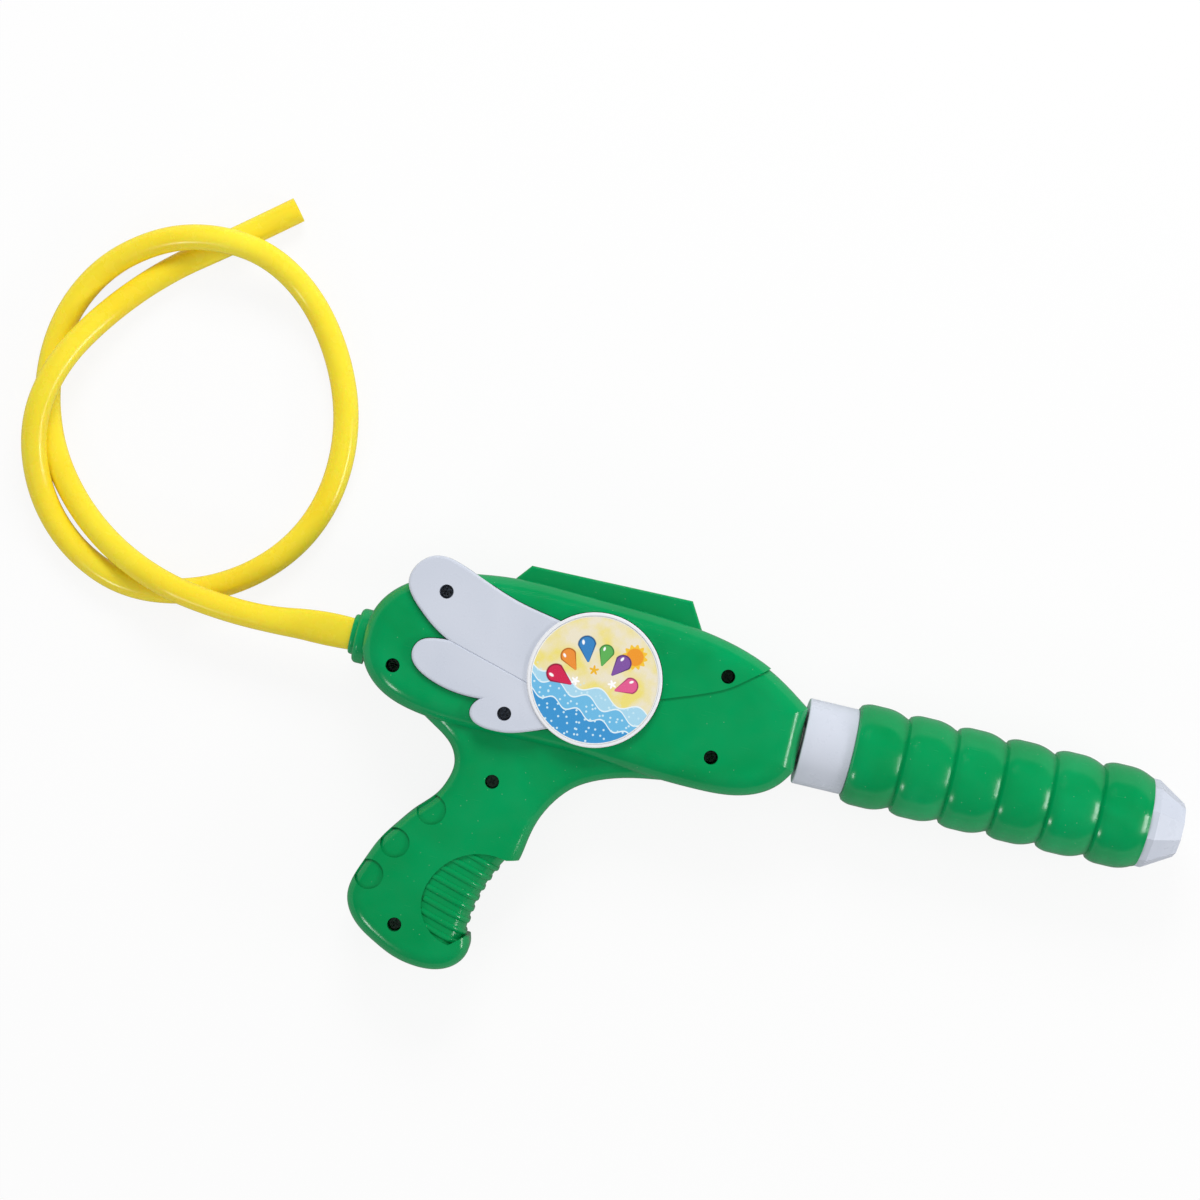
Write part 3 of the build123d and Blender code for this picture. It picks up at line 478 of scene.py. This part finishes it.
# The drops point at the middle of the fan. Each has a round end of radius 1, narrows evenly to a tip 1.9 behind
# it, and has a darker outline and a small glint.
for angle, distance, size, code, edge_code in DROPS:
    along, side = fan_axes(angle, distance, size)
    narrow = add(film, "ShaderNodeMapRange", {"Value": along, "From Min": 0.0, "From Max": -2.037,
                                              "To Min": 1.0, "To Max": 0.03})
    width = add(film, "ShaderNodeMath", {0: side, 1: narrow}, operation="DIVIDE")
    ahead = add(film, "ShaderNodeMath", {0: along, 1: 0.0}, operation="MAXIMUM")
    past_tip = add(film, "ShaderNodeMath", {0: along, 1: -1.9}, operation="LESS_THAN")
    form = add(film, "ShaderNodeMath", {0: past_tip, 1: 9.0, 2: reach(width, ahead)}, operation="MULTIPLY_ADD")
    picture = print_over(picture, form, 1.0, 0.05, edge_code)
    picture = print_over(picture, form, 0.84, 0.05, code)
    glint_along = add(film, "ShaderNodeMath", {0: along, 1: 0.3}, operation="SUBTRACT")
    glint_side = add(film, "ShaderNodeMath", {0: side, 1: 1.8, 2: -0.684}, operation="MULTIPLY_ADD")
    picture = print_over(picture, reach(glint_along, glint_side), 0.26, 0.06, "#FFFFFF")
for angle, distance, size, code in STARS:
    picture = print_over(picture, rayed_reach(*fan_axes(angle, distance, size), 5.0, 0.3), 0.7, 0.05, code)
# The cut edge stays unprinted
picture = print_over(picture, reach(across, up), LABEL_RADIUS - UNPRINTED_EDGE, -0.08, "#F4F4F1")
# The clear film has a grain of 0.4 mm in its gloss, and lies in slow waves
grain = add(film, "ShaderNodeTexNoise", {"Vector": print_place, "Scale": 2.5, "Detail": 2.0})
polish = add(film, "ShaderNodeMapRange", {"Value": grain, "To Min": 0.18, "To Max": 0.34})
relief = add(film, "ShaderNodeBump", {"Height": clouds, "Strength": 0.15, "Distance": 0.0003})
skin = add(film, "ShaderNodeBsdfPrincipled", {"Base Color": picture, "Roughness": polish, "Normal": relief,
                                              "IOR": 1.48})
add(film, "ShaderNodeOutputMaterial", {"Surface": skin})
paint("badge_label", film)

# Table: a pale paper sheet, which looks almost white to the camera and keeps a soft shadow. Its mirror images
# are darker, so that the glossy green stays deep at the sides.
TABLE_SIZE = 8
TABLE_HEIGHT = -0.0004
bpy.ops.object.select_all(action="DESELECT")
bpy.ops.mesh.primitive_plane_add(size=TABLE_SIZE, location=(0, 0, TABLE_HEIGHT))
table = bpy.context.object
table.name = "table"
sheet_white = new_material("pale_sheet")
rays = add(sheet_white, "ShaderNodeLightPath")
shade = add(sheet_white, "ShaderNodeMapRange", {"Value": rays.outputs["Is Glossy Ray"], "To Min": 0.84,
                                                "To Max": 0.36})
paper = add(sheet_white, "ShaderNodeBsdfDiffuse", {"Color": shade})
glow = add(sheet_white, "ShaderNodeEmission", {"Color": (1, 1, 1, 1), "Strength": 1.0})
seen = add(sheet_white, "ShaderNodeMath",
           {0: rays.outputs["Is Camera Ray"], 1: rays.outputs["Is Transmission Ray"]}, operation="MAXIMUM")
mirrored = add(sheet_white, "ShaderNodeMath", {0: rays.outputs["Is Glossy Ray"], 1: 0.04}, operation="MULTIPLY")
share = add(sheet_white, "ShaderNodeMath", {0: seen, 1: 0.88, 2: mirrored}, operation="MULTIPLY_ADD")
mix = add(sheet_white, "ShaderNodeMixShader", {0: share, 1: paper, 2: glow})
add(sheet_white, "ShaderNodeOutputMaterial", {"Surface": mix})
table.data.materials.append(sheet_white)

# Room: a white backdrop all round, which the camera sees everywhere, and reflections only near the table,
# under a dark ceiling. It also gives a plain even light.
EVEN_LIGHT = 0.55
world = bpy.data.worlds.new("room")
scene.world = world
world.use_nodes = True
world.node_tree.nodes.clear()
rays = add(world, "ShaderNodeLightPath")
direction = add(world, "ShaderNodeSeparateXYZ", {"Vector": add(world, "ShaderNodeTexCoord").outputs["Generated"]})
backdrop = add(world, "ShaderNodeMapRange", {"Value": direction.outputs["Z"], "From Min": 0.22, "From Max": 0.06,
                                             "To Max": 0.6})
mirrored = add(world, "ShaderNodeMath", {0: rays.outputs["Is Glossy Ray"], 1: backdrop}, operation="MULTIPLY")
seen = add(world, "ShaderNodeMath", {0: rays.outputs["Is Camera Ray"], 1: rays.outputs["Is Transmission Ray"]},
           operation="MAXIMUM")
white = add(world, "ShaderNodeMath", {0: mirrored, 1: seen}, operation="MAXIMUM")
even = add(world, "ShaderNodeMapRange", {"Value": rays.outputs["Is Diffuse Ray"], "To Min": 0.015,
                                         "To Max": EVEN_LIGHT})
strength = add(world, "ShaderNodeMath", {0: even, 1: white}, operation="MAXIMUM")
room = add(world, "ShaderNodeBackground", {"Color": (1, 1, 1, 1), "Strength": strength})
add(world, "ShaderNodeOutputWorld", {"Surface": room})

# Lamps: a soft strip beyond the nozzle, a small lamp behind the grip, and a soft box beyond the top rail, which
# is behind a diffuser and leaves no mirror image. All point at the middle of the body.
LAMPS_POINT_AT = at(-60, 0, 20)
for name, spot, width, depth, power, has_image in (
    ("strip_front", (1.0, 0.02, 0.52), 0.55, 0.18, 4.2, True),
    ("lamp_behind", (-0.62, -0.8, 0.6), 0.16, 0.16, 1.5, True),
    ("soft_box_top", (-0.25, 1.0, 0.8), 0.6, 0.45, 8.2, False),
):
    data = bpy.data.lights.new(name, "AREA")
    data.shape = "RECTANGLE"
    data.size = width
    data.size_y = depth
    data.energy = power
    lamp = bpy.data.objects.new(name, data)
    scene.collection.objects.link(lamp)
    lamp.location = spot
    lamp.visible_glossy = has_image
    lamp.rotation_euler = (LAMPS_POINT_AT - Vector(spot)).to_track_quat("-Z", "Y").to_euler()
